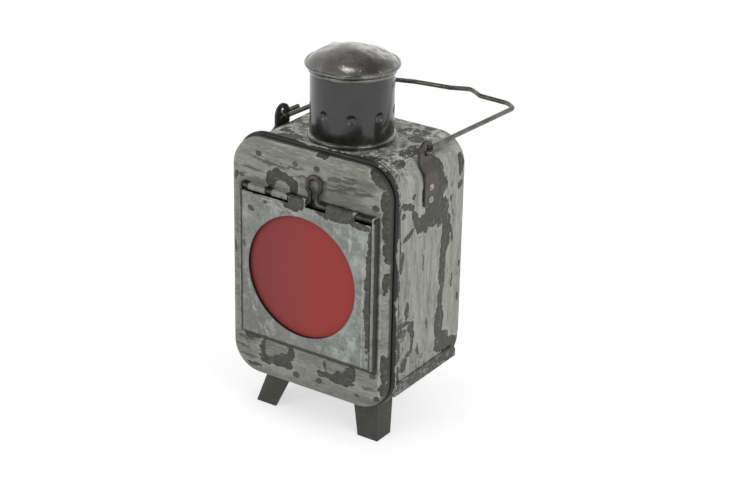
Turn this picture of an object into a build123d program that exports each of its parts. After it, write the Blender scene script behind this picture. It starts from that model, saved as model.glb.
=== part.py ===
from build123d import *
import os
from math import acos, atan2, cos, degrees, hypot, radians, sin, sqrt

# A candle lantern of painted sheet metal. Millimetres, +Z up, the front faces -Y.
# While it is built, y = 0 is the face of the front plate and z = 0 is the floor.
# At the end everything moves back by half of its depth, so that the origin is under the middle.

# Sheet and wire stock
sheet = 1.0
strap_stock = 1.6
bail_wire = 3.3
pin_wire = 3.0
running_clearance = 0.1

# Front plate, a pressed lid with rolled edges
plate_width = 123.2
plate_height = 170.1
plate_bottom = 28.0
plate_corner = 21.5
plate_edge = 6.0
plate_rim = 8.5

# Wired rim behind the lid
rim_gap = 1.2
bead_thickness = 4.8
bead_overhang = 2.0
bead_round = 2.3
spigot_reach = 3.2
spigot_slack = 0.05
frame_opening_margin = 8.0
collar_reach = 13.5

# Body and floor
body_width = 121.2
body_top = 195.5
body_corner = 20.0
body_depth = 78.5
back_bend = 15.0
tray_bottom = 36.3
tray_rear = 89.5
tray_flange = 9.0
tray_corner = 6.0

# Lens flap: it hangs from the pin, and its hole is left of its middle
pin_y = -3.4
pin_z = 166.6
knuckle_wall = 0.7
flap_left = -48.2
flap_right = 54.2
flap_bottom = 61.9
flap_front = -5.7
flap_return = 5.3
flap_top_gap = 3.2
cheek_gap = 0.5
cheek_front = -6.0
window_bottom = 66.0
window_top = 162.3
plate_knuckles = [(-43.0, -29.5), (-24.0, -11.5)]
flap_knuckles = [(-10.5, 2.5), (19.0, 41.0)]
loop_x = 7.6
loop_neck = 2.6
loop_half_width = 5.0
loop_throat = 7.2
loop_shoulder = 9.5
loop_height = 18.0
loop_bends = [2.4, 2.2, 3.0, 4.8]
loop_lean = 4.5

# Lens
lens_z = 113.4
lens_hole_radius = 42.5
lens_recess = 2.7
glass_radius = 44.9
glass_thickness = 2.5
retainer_lip_radius = 42.0

# Chimney
chimney_y = 50.2
chimney_radius = 27.7
chimney_wall = 0.9
dimple_count = 9
dimple_turn = -6.5
dimple_ball = 5.4
dimple_depth = 1.2
dimple_height = 20.3
base_bead = 1.6
base_foot_radius = 30.2
base_foot_thickness = 0.6
collar_height = 46.5
collar_bead = 1.6
cap_height = 49.8
cap_radius = 31.4
cap_lip = 1.4
cap_rise = 11.2
cap_crown = 55.0
cap_shoulder = 16.0
cap_gap = 2.5
cap_legs = 6
cap_leg_width = 8.0
cap_leg_reach = 8.0
cap_leg_rise = 3.4
cap_slot_rise = 1.2
cap_leg_slack = 0.05

# Straps and bail, all on one axis above the body
pivot_z = 196.3
strap_x = 56.8
strap_y = 51.0
strap_width = 15.0
strap_bottom = 162.0
strap_joggle_low = 184.0
strap_joggle_high = 190.0
strap_top = 204.4
strap_bend = 4.0
strap_hole_radius = 2.25
strap_slot_rise = 3.0
strap_rivet_heights = [165.0, 173.6]
hook_half_gap = 3.0
hook_bend = 2.9
bail_slope = -2.5
bail_right_tail = 13.0
bail_left_tail = 22.0
bail_right_arm = 116.0
bail_left_arm = 104.0
bail_bar = [(45.5, 122.8), (22.5, 124.3), (9.5, 133.2), (-3.5, 126.3), (-29.5, 121.3), (-45.0, 115.0)]
bail_bar_bends = [9.0, 5.0, 6.0, 5.0, 20.0, 14.0]
bail_right_bend = 7.0
bail_left_bend = 9.0

# Legs
leg_stock = 1.6
leg_top_width = 20.8
leg_foot_width = 15.8
leg_spread = 13.7
front_foot_x = 49.9
front_foot_y = 12.6
front_splay = 37.5
rear_foot_y = 97.0
leg_pad = 13.0
leg_pad_thickness = 1.5

# Rivets
rivet_shank = 1.2
rivet_head = 2.3
rivet_rise = 1.2
rivet_tail = 0.7
rivet_tail_radius = 1.8
shell_rivet_y = 21.2
shell_rivet_heights = [78.7, 162.8]
tray_rivet_y = 78.7
tray_rivet_z = 42.2

# Candle
cup_radius = 21.0
cup_wall = 0.8
cup_height = 12.0
candle_radius = 19.6
candle_height = 52.0
melt_depth = 1.6
wick_radius = 0.8
wick_height = 9.0
wick_depth = 6.0

# Values that follow from the ones above
plate_middle = plate_bottom + plate_height / 2
frame_front = plate_rim + rim_gap
body_front = frame_front + bead_thickness
body_rear = body_front + body_depth
half_body = body_width / 2
tray_floor = tray_bottom + sheet
flap_back = flap_front + sheet
flap_top = pin_z - flap_top_gap
glass_front = flap_front + lens_recess
glass_back = glass_front + glass_thickness
pin_radius = pin_wire / 2
knuckle_bore = pin_radius + running_clearance
knuckle_radius = knuckle_bore + knuckle_wall
left_cheek = (flap_left - cheek_gap - sheet, flap_left - cheek_gap)
right_cheek = (flap_right + cheek_gap, flap_right + cheek_gap + sheet)
dimple_z = body_top + dimple_height
cap_z = body_top + cap_height
flue_radius = chimney_radius - chimney_wall


def block(x, y, z):
    """A box between pairs of limits."""
    size = [high - low for low, high in (x, y, z)]
    middle = [(low + high) / 2 for low, high in (x, y, z)]
    return Pos(*middle) * Box(*size)


def upright(sketch, y_front, y_rear):
    """Extrude a sketch drawn in X and Z from y_front back to y_rear."""
    return extrude(Plane.XZ.offset(-y_front) * sketch, amount=y_front - y_rear)


def rod_x(radius, x, y, z):
    """A rod along X between two limits."""
    return Pos((x[0] + x[1]) / 2, y, z) * Rot(0, 90, 0) * Cylinder(radius, x[1] - x[0])


def rod_y(radius, x, y, z):
    """A rod along Y between two limits."""
    return Pos(x, (y[0] + y[1]) / 2, z) * Rot(90, 0, 0) * Cylinder(radius, y[1] - y[0])


def rod_z(radius, x, y, z):
    """A rod along Z between two limits."""
    return Pos(x, y, (z[0] + z[1]) / 2) * Cylinder(radius, z[1] - z[0])


def lid_outline(grow):
    """The outline of the front plate, grown or shrunk all round."""
    size = (plate_width + 2 * grow, plate_height + 2 * grow)
    return Pos(0, plate_middle) * RectangleRounded(*size, plate_corner + grow)


def arch_outline(inset, bottom):
    """The outline of the body, with its two upper corners rounded."""
    top = body_top - inset
    blank = Pos(0, (bottom + top) / 2) * Rectangle(body_width - 2 * inset, top - bottom)
    return fillet(blank.vertices().group_by(Axis.Y)[-1], body_corner - inset)


def wire_along(path, diameter):
    """A round wire that follows a path."""
    start = Plane(path @ 0, z_dir=path % 0)
    return sweep(start * Circle(diameter / 2), path=path)


def turned(sketch):
    """Turn a sketch drawn in X and Z round the chimney's axis."""
    return Pos(0, chimney_y, 0) * revolve(Plane.XZ * sketch, Axis.Z)


def dome_radius(radius, rise):
    """The radius of the ball that a dome of this width and rise is cut from."""
    return (radius ** 2 + rise ** 2) / (2 * rise)


def rivet(place, outward, grip):
    """A rivet with a domed head outside and a flat tail behind the grip."""
    ball = dome_radius(rivet_head, rivet_rise)
    dome = Pos(0, 0, rivet_rise - ball) * Sphere(ball)
    head = dome & rod_z(rivet_head, 0, 0, (0, rivet_rise))
    shank = rod_z(rivet_shank, 0, 0, (-grip, 0))
    tail = rod_z(rivet_tail_radius, 0, 0, (-grip - rivet_tail, -grip))
    return Plane(origin=place, z_dir=outward) * (head + shank + tail)


def side_holes(y, heights):
    """Rivet holes through both sides."""
    return Part() + [rod_x(rivet_shank, (-body_width, body_width), y, z) for z in heights]


def side_rivets(face, y, heights, grip):
    """Rivets on both sides, their heads outward."""
    return [rivet((side * face, y, z), (side, 0, 0), grip) for side in (-1, 1) for z in heights]


def make_front_plate():
    """The lid: rolled edges, a window with two cheeks, and the fixed knuckles over it."""
    blank = upright(lid_outline(0), 0, plate_rim)
    blank = fillet(blank.faces().sort_by(Axis.Y)[0].edges(), plate_edge)
    lid = offset(blank, amount=-sheet, openings=blank.faces().sort_by(Axis.Y)[-1])
    strip_low = pin_z + knuckle_bore
    lid -= block((left_cheek[0], right_cheek[1]), (-sheet, 2 * sheet), (window_bottom, window_top))
    for cheek in (left_cheek, right_cheek):
        lid += block(cheek, (cheek_front, sheet), (flap_bottom, pin_z + knuckle_radius))
    for span in plate_knuckles:
        lid += block(span, (pin_y, sheet), (strip_low, pin_z + knuckle_radius))
        lid += rod_x(knuckle_radius, span, pin_y, pin_z)
    return lid - rod_x(knuckle_bore, (-plate_width / 2, plate_width / 2), pin_y, pin_z)


def make_front_frame():
    """The wired rim, the spigot inside the lid and the collar inside the body."""
    blank = upright(lid_outline(bead_overhang), frame_front, body_front)
    ends = blank.faces().sort_by(Axis.Y)
    bead = fillet(ends[0].edges() + ends[-1].edges(), bead_round)
    bead -= upright(lid_outline(-sheet - frame_opening_margin / 2), frame_front, body_front)
    spigot = upright(lid_outline(-sheet - spigot_slack), frame_front - spigot_reach, frame_front)
    spigot -= upright(lid_outline(-2 * sheet), frame_front - spigot_reach, frame_front)
    web = upright(lid_outline(-sheet), body_front - sheet, body_front)
    opening_bottom = tray_floor + frame_opening_margin
    web -= upright(arch_outline(sheet + frame_opening_margin, opening_bottom), frame_front, body_front)
    collar_rear = body_front + collar_reach
    collar = upright(arch_outline(sheet, tray_floor), body_front, collar_rear)
    collar -= upright(arch_outline(2 * sheet, tray_bottom), body_front, collar_rear)
    return bead + spigot + web + collar - side_holes(shell_rivet_y, shell_rivet_heights)


def body_block(inset, bottom, rear, bend):
    """The body's outline run back to its rear, where the lower edge is bent under."""
    solid = upright(arch_outline(inset, bottom), body_front, rear)
    lower_rear = solid.edges().filter_by(Axis.X).group_by(Axis.Z)[0].sort_by(Axis.Y)[-1]
    return fillet(lower_rear, bend)


def make_body_shell():
    """One sheet bent over the top and down both sides, with a hole under the chimney."""
    shell = body_block(0, tray_floor, body_rear, back_bend)
    shell -= upright(arch_outline(sheet, tray_bottom), body_front, body_rear)
    shell -= rod_z(flue_radius, 0, chimney_y, (body_top - 2 * sheet, body_top + sheet))
    shell -= side_holes(shell_rivet_y, shell_rivet_heights)
    return shell - side_holes(strap_y, strap_rivet_heights) - side_holes(tray_rivet_y, [tray_rivet_z])


def make_back_panel():
    """The plate that closes the back, bent under to meet the floor."""
    panel = body_block(sheet, tray_floor, body_rear, back_bend)
    panel -= body_block(sheet, tray_floor + sheet, body_rear - sheet, back_bend - sheet)
    return panel - block((-half_body, half_body), (0, body_rear - back_bend), (tray_floor, body_top))


def make_base_tray():
    """The floor, with a strip turned up outside each side and rounded off at the back."""
    reach = half_body + sheet
    tray = block((-reach, reach), (body_front, tray_rear), (tray_bottom, tray_bottom + tray_flange))
    upper_rear = tray.edges().filter_by(Axis.X).group_by(Axis.Z)[-1].sort_by(Axis.Y)[-1]
    tray = fillet(upper_rear, tray_corner)
    tray -= block((-half_body, half_body), (0, body_rear), (tray_floor, body_top))
    for place, _ in leg_pads():
        tray -= rod_z(rivet_shank, place.X, place.Y, (0, body_top))
    tray -= side_holes(tray_rivet_y, [tray_rivet_z])
    return tray - rod_z(rivet_shank, 0, chimney_y, (0, body_top))


def make_lens_panel():
    """The flap: a sheet with three folded edges, a flanged hole and its own knuckles."""
    width = (flap_left, flap_right)
    flap = block(width, (flap_front, flap_front + flap_return), (flap_bottom, flap_top))
    hollow = (flap_left + sheet, flap_right - sheet)
    flap -= block(hollow, (flap_back, pin_z), (flap_bottom + sheet, pin_z))
    flap += rod_y(lens_hole_radius + sheet, 0, (flap_front, glass_front), lens_z)
    flap -= rod_y(lens_hole_radius, 0, (flap_front - sheet, glass_back), lens_z)
    for span in flap_knuckles:
        flap += block(span, (flap_front, flap_back), (flap_top, pin_z))
        flap += rod_x(knuckle_radius, span, pin_y, pin_z)
        flap -= rod_x(knuckle_bore, span, pin_y, pin_z)
    return flap


def make_lens_glass():
    """The red disc behind the hole's flange."""
    return rod_y(glass_radius, 0, (glass_front, glass_back), lens_z)


def make_lens_retainer():
    """A turned ring fixed behind the flap, with a lip that holds the glass forward."""
    lip_back = glass_back + sheet
    inner = glass_radius + running_clearance
    ring = rod_y(inner + sheet, 0, (flap_back, lip_back), lens_z)
    ring -= rod_y(inner, 0, (flap_back, glass_back), lens_z)
    return ring - rod_y(retainer_lip_radius, 0, (flap_back, lip_back), lens_z)


def make_hinge_pin():
    """A wire through the knuckles, bent up into a loop that leans on the front plate."""
    left, right = left_cheek[0] - sheet, right_cheek[1] + sheet
    half = [(loop_neck, 0), (loop_neck, loop_throat)]
    half += [(loop_half_width, loop_shoulder), (loop_half_width, loop_height)]
    rising = [(loop_x - x, z) for x, z in half]
    falling = [(loop_x + x, z) for x, z in reversed(half)]
    bends = [*loop_bends, *reversed(loop_bends)]
    route = FilletPolyline([(left, 0), *rising, *falling, (right, 0)], radius=bends)
    upright_plane = Plane(origin=(0, pin_y, pin_z), x_dir=(1, 0, 0), z_dir=(0, -1, 0))
    leaning = upright_plane.rotated((-loop_lean, 0, 0))
    return wire_along(leaning * route, pin_wire)


def make_chimney_tube():
    """The tube, with a ring of round dimples pressed into it, open at the top under the cap."""
    span = (body_top, cap_z - cap_gap)
    core = rod_z(chimney_radius, 0, chimney_y, span)
    tube = core - rod_z(flue_radius, 0, chimney_y, span)
    away = chimney_radius + dimple_ball - dimple_depth
    for index in range(dimple_count):
        turn = Rot(0, 0, dimple_turn + index * 360 / dimple_count - 90)
        middle = Pos(0, chimney_y, dimple_z) * turn * Pos(away, 0, 0)
        tube += core & middle * Sphere(dimple_ball + chimney_wall)
        tube -= middle * Sphere(dimple_ball)
    return tube


def bead_ring(z, bead):
    """A half-round bead that lies against the outside of the tube."""
    outside = Pos(chimney_radius + bead, z) * Rectangle(2 * bead, 4 * bead)
    return turned(Pos(chimney_radius, z) * Circle(bead) & outside)


def make_chimney_base_ring():
    """The bead round the chimney's foot, on a thin flat flange."""
    flange_width = base_foot_radius - chimney_radius
    flange_middle = (chimney_radius + flange_width / 2, body_top + base_foot_thickness / 2)
    flange = Pos(*flange_middle) * Rectangle(flange_width, base_foot_thickness)
    return turned(flange) + bead_ring(body_top + base_bead, base_bead)


def make_chimney_collar():
    """The bead under the cap."""
    return bead_ring(body_top + collar_height, collar_bead)


def cap_dome():
    """The dome's wall, drawn in X and Z: a flat crown that rolls over into a tighter shoulder."""
    lip_radius = cap_radius - cap_lip
    crown_z = cap_z + cap_rise - cap_crown
    reach = cap_crown - cap_shoulder
    span = hypot(lip_radius, cap_z - crown_z)
    lean = acos((reach ** 2 + span ** 2 - cap_shoulder ** 2) / (2 * reach * span))
    turn = atan2(lip_radius, cap_z - crown_z) - lean
    shoulder_x, shoulder_z = reach * sin(turn), crown_z + reach * cos(turn)
    start = 90 - degrees(turn)
    end = degrees(atan2(cap_z - shoulder_z, lip_radius - shoulder_x))
    edges = []
    for inset in (0, chimney_wall):
        edges.append(CenterArc((0, crown_z), cap_crown - inset, 90, start - 90))
        edges.append(CenterArc((shoulder_x, shoulder_z), cap_shoulder - inset, start, end - start))
    crown, shoulder, inner_crown, inner_shoulder = edges
    edges += [Line(crown @ 0, inner_crown @ 0), Line(shoulder @ 1, inner_shoulder @ 1)]
    return make_face(Curve() + edges)


def cap_slots():
    """The gaps between the cap's legs, which hot air passes through."""
    span = (cap_z - 2 * cap_leg_reach, cap_z + cap_slot_rise)
    slots = rod_z(chimney_radius, 0, chimney_y, span)
    slots -= rod_z(flue_radius - 2 * chimney_wall, 0, chimney_y, span)
    half = cap_leg_width / 2
    for index in range(cap_legs):
        turn = Pos(0, chimney_y, 0) * Rot(0, 0, index * 360 / cap_legs)
        slots -= turn * block((0, cap_radius), (-half, half), span)
    return slots


def make_chimney_cap():
    """A flattened dome with a rolled lip, on legs, so that hot air leaves round its edge."""
    lip = Pos(cap_radius - cap_lip, cap_z) * Circle(cap_lip)
    leg_middle = flue_radius - cap_leg_slack - chimney_wall / 2
    leg_height = cap_leg_reach + cap_leg_rise
    skirt = Pos(leg_middle, cap_z + cap_leg_rise - leg_height / 2) * Rectangle(chimney_wall, leg_height)
    return turned(cap_dome() + lip + skirt) - cap_slots()


def make_strap(side):
    """A strap riveted to one side: it steps inward and rises to the bail's hole."""
    low = half_body + strap_stock / 2
    line = [(low, strap_bottom), (low, strap_joggle_low)]
    line += [(strap_x, strap_joggle_high), (strap_x, strap_top)]
    route = FilletPolyline(line, radius=strap_bend)
    half_width = strap_width / 2
    band = upright(trace(route, strap_stock), strap_y - half_width, strap_y + half_width)
    head = Pos(strap_y, strap_top - half_width) * Circle(half_width)
    stem_height = strap_top - half_width - strap_bottom + strap_stock
    stem = Pos(strap_y, strap_top - half_width - stem_height / 2) * Rectangle(strap_width, stem_height)
    hole = Pos(strap_y, pivot_z) * Circle(strap_hole_radius)
    slot = Pos(strap_y, pivot_z + strap_slot_rise) * Circle(strap_hole_radius)
    throat = Pos(strap_y, pivot_z + strap_slot_rise / 2) * Rectangle(2 * strap_hole_radius, strap_slot_rise)
    outline = head + stem - hole - slot - throat
    strap = band & extrude(Plane.YZ * outline, amount=body_width)
    strap -= side_holes(strap_y, strap_rivet_heights)
    return strap if side > 0 else mirror(strap, Plane.YZ)


def make_bail_handle():
    """A flat bent wire: hooks at both ends, two arms and a crossbar with a hump for a hook."""
    inner, outer = strap_x - hook_half_gap, strap_x + hook_half_gap
    right = [(outer, bail_right_tail), (outer, 0), (inner, 0), (inner, bail_right_arm)]
    left = [(-inner, bail_left_arm), (-inner, 0), (-outer, 0), (-outer, bail_left_tail)]
    hook_bends = [hook_bend, hook_bend]
    bends = [*hook_bends, bail_right_bend, *bail_bar_bends, bail_left_bend, *hook_bends]
    route = FilletPolyline(right + bail_bar + left, radius=bends)
    rest = Plane(origin=(0, strap_y, pivot_z)).rotated((bail_slope, 0, 0))
    return wire_along(rest * route, bail_wire)


def flat_direction(angle):
    """A level unit vector, its angle in degrees from +X."""
    return Vector(cos(radians(angle)), sin(radians(angle)), 0)


def leg_layout():
    """Each leg's foot corner and the way that it spreads, in degrees from +X."""
    return {
        "leg_front_left": (Vector(-front_foot_x, front_foot_y, 0), -90 - front_splay),
        "leg_front_right": (Vector(front_foot_x, front_foot_y, 0), -90 + front_splay),
        "leg_rear": (Vector(0, rear_foot_y, 0), 90),
    }


def leg_corner_angle(name):
    """The way that a leg's outer corner points: the front legs' flanges lie along X and Y."""
    return {"leg_front_left": -135, "leg_front_right": -45, "leg_rear": 90}[name]


def leg_top_corner(name):
    """Where a leg's outer corner meets the tray."""
    foot, spread = leg_layout()[name]
    return foot - flat_direction(spread) * leg_spread + Vector(0, 0, tray_bottom)


def leg_pads():
    """The middle of each leg's pad on the tray's underside, and the way its corner points."""
    pads = []
    for name in leg_layout():
        angle = leg_corner_angle(name)
        pads.append((leg_top_corner(name) - flat_direction(angle) * (leg_pad / sqrt(2)), angle))
    return pads


def angle_section(corner, angle, width):
    """An angle section whose outer corner points along angle."""
    square = Pos(-width / 2, -width / 2) * Rectangle(width, width)
    notch = Pos(-leg_stock - width / 2, -leg_stock - width / 2) * Rectangle(width, width)
    return Pos(corner.X, corner.Y, corner.Z) * Rot(0, 0, angle - 45) * (square - notch)


def make_leg(name):
    """A tapered angle leg with a square pad on top."""
    angle = leg_corner_angle(name)
    top = leg_top_corner(name)
    foot = leg_layout()[name][0]
    ends = [angle_section(foot, angle, leg_foot_width), angle_section(top, angle, leg_top_width)]
    leg = loft(ends, ruled=True)
    pad = Pos(-leg_pad / 2, -leg_pad / 2, -leg_pad_thickness / 2) * Box(leg_pad, leg_pad, leg_pad_thickness)
    leg += Pos(top.X, top.Y, top.Z) * Rot(0, 0, angle - 45) * pad
    hole = top - flat_direction(angle) * (leg_pad / sqrt(2))
    return leg - rod_z(rivet_shank, hole.X, hole.Y, (0, body_top))


def make_leg_rivets():
    """One rivet through each pad and the tray, its head underneath."""
    under = tray_bottom - leg_pad_thickness
    grip = leg_pad_thickness + sheet
    return [rivet((place.X, place.Y, under), (0, 0, -1), grip) for place, _ in leg_pads()]


def make_shell_rivets():
    """The rivets through the sides and the frame's collar."""
    return side_rivets(half_body, shell_rivet_y, shell_rivet_heights, 2 * sheet)


def make_strap_rivets():
    """Two rivets through each strap and the side behind it."""
    return side_rivets(half_body + strap_stock, strap_y, strap_rivet_heights, strap_stock + sheet)


def make_tray_rivets():
    """One rivet through each strip of the tray and the side behind it."""
    return side_rivets(half_body + sheet, tray_rivet_y, [tray_rivet_z], 2 * sheet)


def make_candle_cup():
    """A low cup riveted to the floor."""
    cup = rod_z(cup_radius, 0, chimney_y, (tray_floor, tray_floor + cup_height))
    cup -= rod_z(cup_radius - cup_wall, 0, chimney_y, (tray_floor + cup_wall, body_top))
    return cup - rod_z(rivet_shank, 0, chimney_y, (tray_bottom, body_top))


def make_cup_rivet():
    """The rivet through the floor, flush with the bottom of the cup."""
    whole = rivet((0, chimney_y, tray_bottom), (0, 0, -1), sheet + cup_wall)
    return whole & rod_z(rivet_head, 0, chimney_y, (0, tray_floor + cup_wall))


def make_candle():
    """A plain candle with a shallow melted pool and a hole for its wick."""
    bottom = tray_floor + cup_wall
    top = bottom + candle_height
    candle = rod_z(candle_radius, 0, chimney_y, (bottom, top))
    pool = dome_radius(candle_radius - 2 * cup_wall, melt_depth)
    candle -= Pos(0, chimney_y, top + pool - melt_depth) * Sphere(pool)
    return candle - rod_z(wick_radius, 0, chimney_y, (top - wick_depth, top))


def make_wick():
    """The wick, standing in the candle."""
    top = tray_floor + cup_wall + candle_height
    return rod_z(wick_radius, 0, chimney_y, (top - wick_depth, top - wick_depth + wick_height))


nodes = {
    "front_plate": make_front_plate(),
    "front_frame": make_front_frame(),
    "body_shell": make_body_shell(),
    "back_panel": make_back_panel(),
    "base_tray": make_base_tray(),
    "lens_panel": make_lens_panel(),
    "lens_glass": make_lens_glass(),
    "lens_retainer": make_lens_retainer(),
    "hinge_pin": make_hinge_pin(),
    "chimney_tube": make_chimney_tube(),
    "chimney_base_ring": make_chimney_base_ring(),
    "chimney_collar": make_chimney_collar(),
    "chimney_cap": make_chimney_cap(),
    "strap_left": make_strap(-1),
    "strap_right": make_strap(1),
    "strap_rivets": make_strap_rivets(),
    "shell_rivets": make_shell_rivets(),
    "tray_rivets": make_tray_rivets(),
    "bail_handle": make_bail_handle(),
    "leg_rivets": make_leg_rivets(),
    "candle_cup": make_candle_cup(),
    "cup_rivet": make_cup_rivet(),
    "candle": make_candle(),
    "wick": make_wick(),
}
for leg in leg_layout():
    nodes[leg] = make_leg(leg)

# The bail's crossbar is the rearmost point and the cheeks are the foremost ones.
depth_middle = (cheek_front + nodes["bail_handle"].bounding_box().max.Y) / 2
home = Pos(0, -depth_middle, 0)

os.makedirs("parts", exist_ok=True)
for name, shape in nodes.items():
    solids = shape if isinstance(shape, list) else [shape]
    placed = Compound(children=[home * solid for solid in solids]) if len(solids) > 1 else home * solids[0]
    export_step(placed, f"parts/{name}.step")

print("moved back by", round(depth_middle, 4))
print("bail axis", [0, round(strap_y - depth_middle, 4), pivot_z])
print("flap axis", [0, round(pin_y - depth_middle, 4), pin_z])
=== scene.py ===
# %% [markdown]
# # A candle lantern of worn sheet metal
# The solids of this hand lantern come from CAD, at their real size and place. This lesson
# gives them their looks: brushed paint that has chipped down to a dark undercoat, black enamel,
# old wire and red satin glass. It also models the few pieces that are easier by hand than in CAD.
# Every object is in metres, with the floor at z = 0 and the lens facing -Y.

# %% Load the solids
from math import cos, radians, sin

import bpy
from mathutils import Matrix, Vector


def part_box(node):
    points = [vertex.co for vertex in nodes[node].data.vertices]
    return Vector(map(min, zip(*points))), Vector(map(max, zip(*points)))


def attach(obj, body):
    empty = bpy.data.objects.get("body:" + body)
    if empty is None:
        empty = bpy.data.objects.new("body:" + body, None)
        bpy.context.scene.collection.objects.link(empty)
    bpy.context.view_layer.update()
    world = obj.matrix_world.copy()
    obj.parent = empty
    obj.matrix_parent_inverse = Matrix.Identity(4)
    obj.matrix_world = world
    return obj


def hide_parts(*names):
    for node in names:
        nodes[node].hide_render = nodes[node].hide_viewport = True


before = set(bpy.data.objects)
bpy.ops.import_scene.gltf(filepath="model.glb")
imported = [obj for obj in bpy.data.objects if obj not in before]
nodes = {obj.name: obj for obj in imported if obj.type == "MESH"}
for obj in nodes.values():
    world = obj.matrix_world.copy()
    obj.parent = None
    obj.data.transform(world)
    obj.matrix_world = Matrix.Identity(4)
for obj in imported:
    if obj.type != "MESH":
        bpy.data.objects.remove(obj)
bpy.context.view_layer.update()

# %% [markdown]
# ## Places to measure from
# The lid's flat face is the plane that most marks are measured from, and it lies a fixed step
# in front of the body's shell. Distances are easier to read in millimetres, so one name turns
# them into metres.

# %% Reference places
MM = 0.001
shell_low, shell_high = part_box("body_shell")
glass_low, glass_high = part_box("lens_glass")
tube_low, tube_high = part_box("chimney_tube")
lid_step = 14.5 * MM
lid_face = shell_low.y - lid_step
lens_centre = (glass_low + glass_high) / 2
chimney_axis = (tube_low + tube_high) / 2
flap_low, flap_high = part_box("lens_panel")
tube_radius = (tube_high.x - tube_low.x) / 2
shell_corner = 20 * MM
dimple_z = tube_low.z + 20.3 * MM
dimple_step, dimple_start = radians(40), radians(96.5)
print("lid face y", round(lid_face, 4), "lens centre", [round(v, 4) for v in lens_centre])

# %% [markdown]
# ## Camera
# The camera stands to the right of the front and a little above. Blender's camera looks along
# its own -Z, so its matrix is built from three directions: right, up and back. A long lens keeps
# the sides nearly parallel, and a small roll matches a camera that wasn't quite level.

# %% Camera
view_azimuth, view_elevation, view_roll = radians(33.51), radians(24.07), radians(1.2)
view_distance = 1.37934
picture_width, focal_pixels, sensor_millimetres = 750, 2025.08, 36
view_target = Vector((0, lid_face + 80.39 * MM, 109.37 * MM))

flat_share = cos(view_elevation)
back = Vector((sin(view_azimuth) * flat_share, -cos(view_azimuth) * flat_share, sin(view_elevation)))
level_right = Vector((0, 0, 1)).cross(back).normalized()
level_up = back.cross(level_right)
right = level_right * cos(view_roll) + level_up * sin(view_roll)
up = level_up * cos(view_roll) - level_right * sin(view_roll)
camera_matrix = Matrix((right, up, back)).transposed().to_4x4()
camera_matrix.translation = view_target + back * view_distance

bpy.ops.object.camera_add()
camera = bpy.context.object
camera.matrix_world = camera_matrix
camera.data.sensor_width = sensor_millimetres
camera.data.lens = camera.data.sensor_width * focal_pixels / picture_width
bpy.context.scene.camera = camera
bpy.context.scene.view_settings.view_transform = "Standard"
print("camera lens", round(camera.data.lens, 2), "mm")

# %% [markdown]
# ## Shader maths as plain expressions
# A material is a tree of nodes, and arithmetic in it takes a Math node for each step. The small
# class below wraps a socket, so that `1 - mask` or `stroke * 0.2` writes those nodes for us.
# `|` and `&` keep the larger and the smaller of two masks, which joins or crosses them.

# %% A value in a node tree
def put(slot, value):
    """Link a Value to a socket, or set the socket to a plain number, colour or vector."""
    if isinstance(value, Value):
        slot.id_data.links.new(value.socket, slot)
    else:
        slot.default_value = value


class Value:
    """A socket whose sums, products and comparisons add Math nodes."""

    def __init__(self, socket):
        self.socket = socket

    def math(self, operation, other=0.0, swapped=False):
        node = self.socket.id_data.nodes.new("ShaderNodeMath")
        node.operation = operation
        put(node.inputs[1 if swapped else 0], self)
        put(node.inputs[0 if swapped else 1], other)
        return Value(node.outputs[0])

    def __add__(self, other):
        return self.math("ADD", other)

    def __sub__(self, other):
        return self.math("SUBTRACT", other)

    def __rsub__(self, other):
        return self.math("SUBTRACT", other, True)

    def __mul__(self, other):
        return self.math("MULTIPLY", other)

    def __or__(self, other):
        return self.math("MAXIMUM", other)

    def __and__(self, other):
        return self.math("MINIMUM", other)

    __radd__, __rmul__ = __add__, __mul__


class Bench:
    """A node tree, with a method that adds any node and two for what sky and paints share."""

    def __init__(self, tree):
        self.tree = tree
        tree.nodes.clear()

    def add(self, kind, settings=(), sockets=(), out=0):
        node = self.tree.nodes.new("ShaderNode" + kind)
        for name, value in dict(settings).items():
            setattr(node, name, value)
        for name, value in dict(sockets).items():
            put(node.inputs[name], value)
        return Value(node.outputs[out]) if node.outputs else None

    def ramp(self, value, low, high):
        """A smooth step from 0 at low to 1 at high."""
        sockets = {"Value": value, "From Min": low, "From Max": high}
        return self.add("MapRange", {"interpolation_type": "SMOOTHSTEP"}, sockets)

    def rays(self):
        """For each kind of ray that looks at a surface, 1 where this is such a ray."""
        outputs = {"camera": 0, "glossy": 3, "transmission": 6}
        return {kind: self.add("LightPath", out=index) for kind, index in outputs.items()}


print("shader helpers ready")

# %% [markdown]
# ## The helpers that every finish shares
# Object coordinates are metres in the lantern's own frame, so a mark stays where it is put.
# Noise stretched along one direction makes brush strokes. A patch of lost paint is an oval: a
# Mapping node of type Texture moves, turns and scales a point so that the oval becomes a ball of
# radius one, and the length of that point tells inside from outside. Two things break its edge:
# the point is pushed about by noise before it is measured, and crumbs of finer noise are added
# to the length.

# %% A painter's bench
def tint(red, green, blue):
    """A colour as read from a screen, 0 to 255, in the linear light that Blender works in."""
    def linear(level):
        share = level / 255
        return ((share + 0.055) / 1.055) ** 2.4 if share > 0.04 else share / 12.92

    return (linear(red), linear(green), linear(blue), 1.0)


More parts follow.
